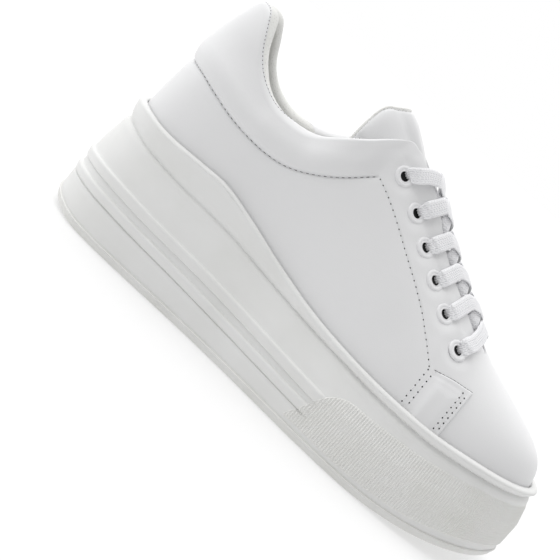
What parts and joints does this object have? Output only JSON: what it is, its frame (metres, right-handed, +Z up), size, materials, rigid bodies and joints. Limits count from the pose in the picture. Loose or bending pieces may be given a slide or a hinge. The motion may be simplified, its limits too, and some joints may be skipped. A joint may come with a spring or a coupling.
{
  "type": "platform sneaker",
  "caption": "Low lace-up platform sneaker for the right foot, smooth upper with padded collar, thick flared sole with a waved band.",
  "frame": {"origin": "middle of the bounding box's base, on the floor under the sole", "axes": "+X to the toe, -Y to the lateral (outer) side, +Z up"},
  "size_m": [0.2606, 0.1014, 0.1362],
  "materials": {
    "leather": "smooth semi-gloss",
    "midsole_rubber": "matte",
    "outsole_rubber": "matte",
    "lining": "woven",
    "eyelet_ring": "gloss",
    "lace_cotton": "woven"
  },
  "bodies": {
    "root": {"outsole": "outsole_rubber", "midsole": "midsole_rubber", "insole": "lining", "upper": "leather", "tongue": "leather", "eyelet_lateral_1": "eyelet_ring", "eyelet_lateral_2": "eyelet_ring", "eyelet_lateral_3": "eyelet_ring", "eyelet_lateral_4": "eyelet_ring", "eyelet_lateral_5": "eyelet_ring", "eyelet_lateral_6": "eyelet_ring", "eyelet_medial_1": "eyelet_ring", "eyelet_medial_2": "eyelet_ring", "eyelet_medial_3": "eyelet_ring", "eyelet_medial_4": "eyelet_ring", "eyelet_medial_5": "eyelet_ring", "eyelet_medial_6": "eyelet_ring", "lace_bar": "lace_cotton", "lace_cross_1": "lace_cotton", "lace_cross_2": "lace_cotton", "lace_cross_3": "lace_cotton", "lace_cross_4": "lace_cotton", "lace_cross_5": "lace_cotton"}
  },
  "joints": []
}
